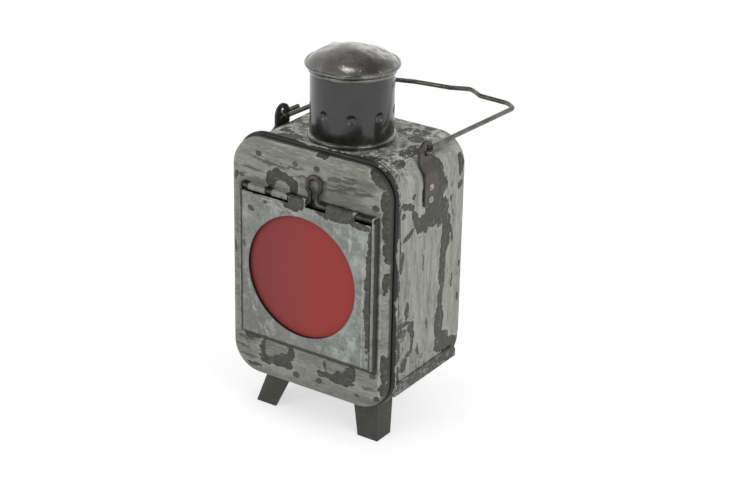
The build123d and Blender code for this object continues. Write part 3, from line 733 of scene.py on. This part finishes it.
wire_steel = old_metal("old_wire", tint(88, 86, 82), tint(116, 111, 104), 0.26, 0.8)
pin_steel = old_metal("old_pin", tint(44, 43, 41), tint(82, 77, 72), 0.34)
rivet_steel = old_metal("rivet_steel", tint(90, 89, 84), tint(138, 136, 130), 0.42)
# The strap rivets are rubbed bright, and their lighter colour also paints their glints.
rubbed_and_glinting_steel = old_metal("rubbed_and_glinting_steel", tint(130, 128, 122), tint(196, 194, 188), 0.3)
cup_tin = old_metal("cup_tin", tint(120, 118, 112), tint(158, 155, 148), 0.38)

# %% [markdown]
# ## Red glass, wax and wick
# The lens is satin: it scatters light and shows no picture behind it. It is painted a little greyer
# and darker on the left than on the right, as shade, with faint drawn streaks. Wax is soft and
# pale, and the wick is charred at its tip.

# %% Glass
glass = Paint("red_satin_glass")
streak = glass.noise(60, 3, 0.5, (1, 1, 0.08))
# Painted shade: the lens is darker and greyer to the left and brighter red to the right.
rightward_light = glass.ramp(glass.axis("X"), -40 * MM, 36 * MM)
red = glass.mix(rightward_light, tint(140, 64, 64), tint(168, 64, 60))
red = glass.mix(glass.ramp(streak, 0.4, 0.7) * 0.25, red, tint(156, 66, 62))
glass_rough = 0.5 + (streak - 0.5) * 0.1
red_glass = glass.finish(red, glass_rough, streak, depth=0.06 * MM, Specular_IOR_Level=0.22)

# %% Wax and wick
wax = Paint("ivory_wax")
bloom = wax.noise(70, 4)
wax_colour = wax.mix(wax.ramp(bloom, 0.35, 0.7), tint(228, 220, 196), tint(240, 234, 216))
candle_wax = wax.finish(wax_colour, 0.45 + bloom * 0.1, bloom, depth=0.4 * MM)

cotton = Paint("charred_cotton")
twist = cotton.noise(900, 3, 0.6)
burnt = cotton.ramp(cotton.axis("Z"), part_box("wick")[1].z - 6 * MM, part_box("wick")[1].z - 2 * MM)
cotton_colour = cotton.mix(burnt, tint(196, 186, 164), tint(28, 26, 24))
wick_cotton = cotton.finish(cotton_colour, 0.85, twist, depth=0.3 * MM)

# %% [markdown]
# ## Modelling by hand
# A few pieces are easier to shape in Blender than in CAD. Each starts from a primitive, is worked
# in Edit Mode, and ends with its place in the mesh, outward normals and smooth shading. The small
# helpers below do what the mouse would do: select by place, and tidy up at the end.

# %% Tools for modelling
def added(name):
    """Name the primitive that was just added, and move its place and turn into its mesh."""
    piece = bpy.context.object
    piece.name = piece.data.name = name
    bpy.ops.object.transform_apply(location=True, rotation=True, scale=True)
    return piece


def pick(piece):
    """Object Mode, with one piece selected and active."""
    bpy.ops.object.mode_set(mode="OBJECT")
    bpy.ops.object.select_all(action="DESELECT")
    piece.select_set(True)
    bpy.context.view_layer.objects.active = piece


def everywhere(place):
    """The test that any place passes."""
    return True


def edit_where(piece, test, kind="FACE"):
    """Edit Mode, with only the faces or points selected whose place passes a test."""
    bpy.ops.object.mode_set(mode="EDIT")
    bpy.ops.mesh.select_mode(type=kind)
    bpy.ops.mesh.select_all(action="DESELECT")
    bpy.ops.object.mode_set(mode="OBJECT")
    if kind == "FACE":
        for face in piece.data.polygons:
            face.select = test(face.center)
    else:
        for point in piece.data.vertices:
            point.select = test(point.co)
    bpy.ops.object.mode_set(mode="EDIT")


def copied(piece, name, shift):
    """A copy with its own mesh, moved by a shift."""
    pick(piece)
    bpy.ops.object.duplicate()
    bpy.ops.transform.translate(value=shift)
    return added(name)


def finished(piece, material, angle=40, stands_for=()):
    """Normals outward, smooth shading, a finish, and a ride on the lantern's body."""
    pick(piece)
    bpy.ops.object.mode_set(mode="EDIT")
    bpy.ops.mesh.select_all(action="SELECT")
    bpy.ops.mesh.normals_make_consistent(inside=False)
    bpy.ops.object.mode_set(mode="OBJECT")
    bpy.ops.object.shade_smooth_by_angle(angle=radians(angle))
    piece.data.materials.clear()
    piece.data.materials.append(material)
    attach(piece, "lantern")
    if stands_for:
        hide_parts(*stands_for)
    print("piece", piece.name, len(piece.data.polygons), "faces")


# %% [markdown]
# ## Spot welds
# The lid is held to its rim by spot welds. Each shows as a low round spot with a sunken middle,
# where the paint didn't stay. One is made from a short cylinder whose front is inset and pushed
# in, and the others are copies of it. Each gets its own size and is a little flatter than round.

# %% Spot welds
weld_places = [
    (-38, 189.5, 0.85), (-9, 189, 0.8), (8, 189.5, 0.85), (53.5, 174, 1.0), (-52, 171.5, 0.75),
    (-7.5, 38, 1.0), (11, 39, 0.9), (53.5, 55.5, 0.9),
]
weld_radius, weld_height, weld_flat = 2.5 * MM, 0.4 * MM, 0.85
first_x, first_z = weld_places[0][:2]
bpy.ops.object.select_all(action="DESELECT")
bpy.ops.mesh.primitive_cylinder_add(vertices=28, radius=weld_radius, depth=2 * weld_height,
                                    rotation=(radians(90), 0, 0),
                                    location=(first_x * MM, lid_face, first_z * MM))
weld = added("lid_weld_1")
edit_where(weld, lambda place: place.y < lid_face - 0.9 * weld_height)
for thickness, push in [(0.4, -0.1), (0.7, 0.3)]:
    bpy.ops.mesh.inset(thickness=thickness * MM)
    bpy.ops.transform.translate(value=(0, push * MM, 0))
welds = [weld]
for number, (x, z, _) in enumerate(weld_places[1:], 2):
    welds.append(copied(weld, f"lid_weld_{number}", ((x - first_x) * MM, 0, (z - first_z) * MM)))
for weld, (_, _, size) in zip(welds, weld_places):
    pick(weld)
    edit_where(weld, everywhere)
    bpy.ops.transform.resize(value=(size, 1, size * weld_flat))
    finished(weld, weld_paint)

# %% [markdown]
# ## The folded seam at the back
# The shell's rear edge is folded over the back panel. The fold is a flat band that follows the
# outline of the back: a plane with its two upper corners beveled round, inset by the width of the
# band, with the middle deleted and the rest made thick.

# %% Back seam
seam_width, seam_thickness, seam_edge = 4.5 * MM, 0.9 * MM, 0.35 * MM
seam_low = shell_low.z + 16 * MM
seam_middle = ((shell_low.x + shell_high.x) / 2, shell_high.y, (seam_low + shell_high.z) / 2)
bpy.ops.object.select_all(action="DESELECT")
bpy.ops.mesh.primitive_plane_add(size=1, rotation=(radians(90), 0, 0), location=seam_middle)
bpy.context.object.scale = (shell_high.x - shell_low.x, shell_high.z - seam_low, 1)
seam = added("back_seam")
edit_where(seam, lambda place: place.z > seam_middle[2], "VERT")
bpy.ops.mesh.bevel(offset=shell_corner, segments=14, affect="VERTICES")
bpy.ops.mesh.select_mode(type="FACE")
bpy.ops.mesh.select_all(action="SELECT")
bpy.ops.mesh.inset(thickness=seam_width)
bpy.ops.mesh.delete(type="FACE")
bpy.ops.mesh.select_all(action="SELECT")
bpy.ops.mesh.extrude_region_move(TRANSFORM_OT_translate={"value": (0, seam_thickness, 0)})
bpy.ops.mesh.select_all(action="SELECT")
bpy.ops.mesh.normals_make_consistent(inside=False)
bpy.ops.object.mode_set(mode="OBJECT")
rounding = seam.modifiers.new("rounding", "BEVEL")
rounding.width, rounding.segments, rounding.limit_method = seam_edge, 2, "ANGLE"
bpy.ops.object.modifier_apply(modifier="rounding")
finished(seam, back_paint)

# %% [markdown]
# ## A dented cap
# The cap was spun from thin sheet and has been knocked. It starts as a disc. Each inset makes the
# next ring of the dome, and each ring is raised to the height that the dome has there. Subdivision
# smooths it, a few soft dents are pushed in with proportional editing, and thickness is added on
# the inside. The rolled lip is a ring of its own.

# %% Cap
cap_low, cap_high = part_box("chimney_cap")
lip_thick, cap_rise = 1.4 * MM, 11.2 * MM
lip_z = cap_high.z - cap_rise
lip_radius = (cap_high.x - cap_low.x) / 2 - lip_thick
dome_steps = [
    (29.2, 1.4), (28, 2.6), (26.5, 3.9), (24.5, 5.4), (22, 6.7), (18.5, 7.95), (14, 9.35),
    (9, 10.45), (4, 11.05),
]
lip_middle = (chimney_axis.x, chimney_axis.y, lip_z)
bpy.ops.object.select_all(action="DESELECT")
bpy.ops.mesh.primitive_circle_add(vertices=64, radius=lip_radius, fill_type="NGON", location=lip_middle)
cap = added("dented_cap")
edit_where(cap, everywhere)
radius_now, rise_now = lip_radius, 0.0
for ring, rise in dome_steps:
    bpy.ops.mesh.inset(thickness=radius_now - ring * MM)
    bpy.ops.transform.translate(value=(0, 0, rise * MM - rise_now))
    radius_now, rise_now = ring * MM, rise * MM
bpy.ops.mesh.poke()
bpy.ops.object.mode_set(mode="OBJECT")
softer = cap.modifiers.new("softer", "SUBSURF")
softer.levels = 2
bpy.ops.object.modifier_apply(modifier="softer")
dents = [
    (-17, -4, 9, -0.7), (-4, 20, 8, -0.9), (12, -14, 11, -0.5), (19, 9, 8, -0.6),
    (-16, 12, 5, -0.7), (-20.5, 8.5, 3.5, 0.9),
]
for x, y, reach, depth in dents:
    middle = Vector((chimney_axis.x + x * MM, chimney_axis.y + y * MM))
    edit_where(cap, lambda place: (place.xy - middle).length < 1.6 * MM, "VERT")
    bpy.ops.transform.translate(value=(0, 0, depth * MM), use_proportional_edit=True,
                                proportional_edit_falloff="SMOOTH", proportional_size=reach * MM)
bpy.ops.object.mode_set(mode="OBJECT")
wall = cap.modifiers.new("wall", "SOLIDIFY")
wall.thickness, wall.offset = 0.8 * MM, -1
bpy.ops.object.modifier_apply(modifier="wall")
bpy.ops.object.select_all(action="DESELECT")
bpy.ops.mesh.primitive_torus_add(major_radius=lip_radius, minor_radius=lip_thick, location=lip_middle,
                                 major_segments=96, minor_segments=18)
lip = added("cap_lip")
finished(cap, cap_enamel, 60, ["chimney_cap"])
finished(lip, bead_enamel, 60)

# %% [markdown]
# Six flat legs carry the cap and leave a gap for the hot air. One is a cube drawn out to a tab, with
# beveled edges, and the others are copies of it, turned about the chimney's axis.

# %% Legs of the cap
leg_count, leg_face, leg_sheet, leg_width = 6, 26.4 * MM, 0.9 * MM, 8 * MM
leg_low, leg_high = lip_z - 8 * MM, lip_z + 3.3 * MM
leg_middle = (chimney_axis.x + leg_face - leg_sheet / 2, chimney_axis.y, (leg_low + leg_high) / 2)
bpy.ops.object.select_all(action="DESELECT")
bpy.ops.mesh.primitive_cube_add(size=1, location=leg_middle)
bpy.context.object.scale = (leg_sheet, leg_width, leg_high - leg_low)
leg = added("cap_leg_1")
edit_where(leg, everywhere)
bpy.ops.mesh.bevel(offset=0.25 * MM, segments=2, affect="EDGES")
legs = [leg]
for number in range(2, leg_count + 1):
    twin = copied(leg, f"cap_leg_{number}", (0, 0, 0))
    edit_where(twin, everywhere)
    turn = radians(360 / leg_count * (number - 1))
    bpy.ops.transform.rotate(value=turn, orient_axis="Z", center_override=lip_middle)
    legs.append(twin)
for leg in legs:
    finished(leg, chimney_enamel)

# %% [markdown]
# ## A burnt candle
# The CAD candle is a plain cylinder with a shallow pool. A burnt one has a soft rim that has run
# over on one side, and a bent, charred wick. The rim is made by insets on the top face, its low
# places by moving a few points with proportional editing, and the wick by spinning a small disc.

# %% Candle
candle_low, candle_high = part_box("candle")
candle_radius = (candle_high.x - candle_low.x) / 2
candle_middle = (candle_low + candle_high) / 2
run_angle = -70


def candle_side(angle):
    """A place halfway up the candle's side, at an angle in degrees round its axis."""
    return candle_middle + Vector((cos(radians(angle)), sin(radians(angle)), 0)) * candle_radius


bpy.ops.object.select_all(action="DESELECT")
bpy.ops.mesh.primitive_cylinder_add(vertices=48, radius=candle_radius, location=candle_middle,
                                    depth=candle_high.z - candle_low.z)
candle = added("burnt_candle")
edit_where(candle, lambda place: place.z > candle_high.z - 0.1 * MM)
for thickness, drop in [(0.7, 0), (1.4, -0.5), (1.6, -1.7), (2.5, -1.0), (5.0, -0.3)]:
    bpy.ops.mesh.inset(thickness=thickness * MM)
    bpy.ops.transform.translate(value=(0, 0, drop * MM))
bpy.ops.mesh.poke()
for angle, drop in [(run_angle, -4.0), (35, -1.5), (160, -2.2)]:
    spot = candle_side(angle)
    edit_where(candle, lambda place: (place.xy - spot.xy).length < 3 * MM and place.z > spot.z, "VERT")
    bpy.ops.transform.translate(value=(0, 0, drop * MM), use_proportional_edit=True,
                                use_proportional_connected=True, proportional_edit_falloff="SMOOTH",
                                proportional_size=7 * MM)
finished(candle, candle_wax, 50, ["candle"])

# %% Drips and wick
bpy.ops.object.select_all(action="DESELECT")
drip_place = candle_side(run_angle)
drip_place.z = candle_high.z - 9 * MM
bpy.ops.mesh.primitive_uv_sphere_add(segments=20, ring_count=14, radius=2.0 * MM, location=drip_place)
drip = added("wax_drip_1")
edit_where(drip, lambda place: place.z > drip_place.z + 0.3 * MM, "VERT")
bpy.ops.transform.translate(value=(0, 0, 4.5 * MM), use_proportional_edit=True,
                            proportional_size=3 * MM)
second = copied(drip, "wax_drip_2", (4.2 * MM, 1.7 * MM, -3.5 * MM))
finished(drip, candle_wax, 60)
finished(second, candle_wax, 60)

wick_low, wick_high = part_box("wick")
wick_radius = (wick_high.x - wick_low.x) / 2
wick_straight, wick_bend = 5.2 * MM, 4.5 * MM
wick_x, wick_y = (wick_low.x + wick_high.x) / 2, (wick_low.y + wick_high.y) / 2
bpy.ops.object.select_all(action="DESELECT")
bpy.ops.mesh.primitive_circle_add(vertices=12, radius=wick_radius, fill_type="NGON",
                                  location=(wick_x, wick_y, wick_low.z))
wick = added("bent_wick")
edit_where(wick, everywhere)
bpy.ops.mesh.extrude_region_move(TRANSFORM_OT_translate={"value": (0, 0, wick_straight)})
bpy.ops.mesh.spin(steps=8, angle=radians(55), axis=(0, -1, 0),
                  center=(wick_x + wick_bend, wick_y, wick_low.z + wick_straight))
finished(wick, wick_cotton, 50, ["wick"])

# %% [markdown]
# ## Which finish goes where
# Each CAD node takes a finish from the list. The three that were modelled by hand are listed too,
# though their solids are replaced.

# %% Dress the nodes
dress = {
    "front_plate": lid_paint, "body_shell": body_paint, "back_panel": back_paint,
    "lens_panel": flap_paint, "lens_retainer": flap_paint, "lens_glass": red_glass,
    "front_frame": rim_paint, "base_tray": strip_paint,
    "strap_left": strap_paint, "strap_right": strap_paint,
    "leg_front_left": dark_paint, "leg_front_right": dark_paint, "leg_rear": dark_paint,
    "chimney_tube": chimney_enamel, "chimney_base_ring": bead_enamel, "chimney_collar": bead_enamel,
    "chimney_cap": cap_enamel, "bail_handle": wire_steel, "hinge_pin": pin_steel,
    "strap_rivets": rubbed_and_glinting_steel, "shell_rivets": rivet_steel, "tray_rivets": rivet_steel,
    "leg_rivets": rivet_steel, "cup_rivet": rivet_steel,
    "candle_cup": cup_tin, "candle": candle_wax, "wick": wick_cotton,
}
for name, material in dress.items():
    nodes[name].data.materials.clear()
    nodes[name].data.materials.append(material)
print(len(dress), "nodes dressed of", len(nodes))

# %% [markdown]
# ## The last step

# %% Finish
print("lantern dressed")
